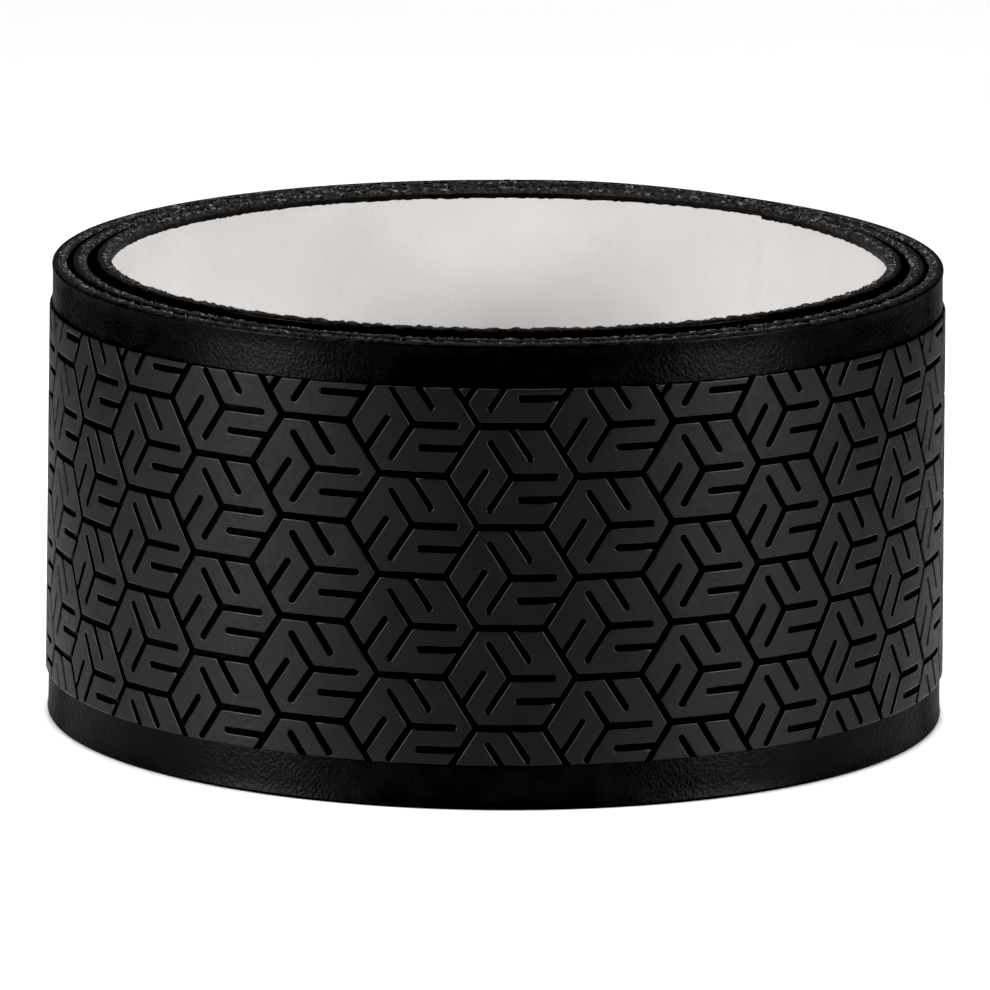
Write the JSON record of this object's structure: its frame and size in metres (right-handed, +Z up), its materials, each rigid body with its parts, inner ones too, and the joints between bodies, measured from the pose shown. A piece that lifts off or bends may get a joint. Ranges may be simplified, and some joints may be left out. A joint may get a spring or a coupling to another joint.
{
  "type": "grip tape roll",
  "caption": "Loosely wound roll of embossed polymer grip tape with a felt backing and a paper release liner; the outer end and the liner's end peel.",
  "frame": {"origin": "on the surface the roll stands on, under the middle of its footprint", "axes": "+Z up along the roll's axis, -Y is the front, the outer end of the tape lies at the back (+Y)"},
  "size_m": [0.061, 0.062, 0.031],
  "materials": {
    "skin": "matte embossed tread, glossy grained borders",
    "felt": "dark non-woven felt with pale flecks",
    "adhesive": "clear tacky film over the dark felt",
    "liner": "smooth release paper"
  },
  "bodies": {
    "coil": {"grip_skin": "skin", "felt_backing": "felt", "adhesive_film": "adhesive", "release_liner": "liner"},
    "liner_flap": {"liner_flap": "liner"},
    "tail_1": {"tail_skin_1": "skin", "tail_felt_1": "felt", "tail_film_1": "adhesive", "tail_liner_1": "liner"},
    "tail_2": {"tail_skin_2": "skin", "tail_felt_2": "felt", "tail_film_2": "adhesive", "tail_liner_2": "liner"},
    "tail_3": {"tail_skin_3": "skin", "tail_felt_3": "felt", "tail_film_3": "adhesive", "tail_liner_3": "liner"},
    "tail_4": {"tail_skin_4": "skin", "tail_felt_4": "felt", "tail_film_4": "adhesive", "tail_liner_4": "liner"},
    "tail_5": {"tail_skin_5": "skin", "tail_felt_5": "felt", "tail_film_5": "adhesive", "tail_liner_5": "liner"}
  },
  "joints": [
    {"name": "tail_peel", "type": "hinge", "parent": "coil", "child": "tail_1", "pos_m": [-0.03015, 0.00372, 0.0155], "axis": [0, 0, 1], "range_deg": [0, 24], "stiffness_Nm_per_rad": 0.001},
    {"name": "tail_bend_2", "type": "hinge", "parent": "tail_1", "child": "tail_2", "pos_m": [-0.02725, 0.01321, 0.0155], "axis": [0, 0, 1], "range_deg": [0, 24]},
    {"name": "tail_bend_3", "type": "hinge", "parent": "tail_2", "child": "tail_3", "pos_m": [-0.02156, 0.02133, 0.0155], "axis": [0, 0, 1], "range_deg": [0, 24]},
    {"name": "tail_bend_4", "type": "hinge", "parent": "tail_3", "child": "tail_4", "pos_m": [-0.01363, 0.0273, 0.0155], "axis": [0, 0, 1], "range_deg": [0, 24]},
    {"name": "tail_bend_5", "type": "hinge", "parent": "tail_4", "child": "tail_5", "pos_m": [-0.00425, 0.03053, 0.0155], "axis": [0, 0, 1], "range_deg": [0, 24]},
    {"name": "liner_peel", "type": "hinge", "parent": "coil", "child": "liner_flap", "pos_m": [0.02334, 0.01256, 0.0155], "axis": [0, 0, 1], "range_deg": [0, 90]}
  ],
  "couplings": [
    {"joint": "tail_bend_2", "follows": "tail_peel", "ratio": 1},
    {"joint": "tail_bend_3", "follows": "tail_peel", "ratio": 1},
    {"joint": "tail_bend_4", "follows": "tail_peel", "ratio": 1},
    {"joint": "tail_bend_5", "follows": "tail_peel", "ratio": 1}
  ]
}
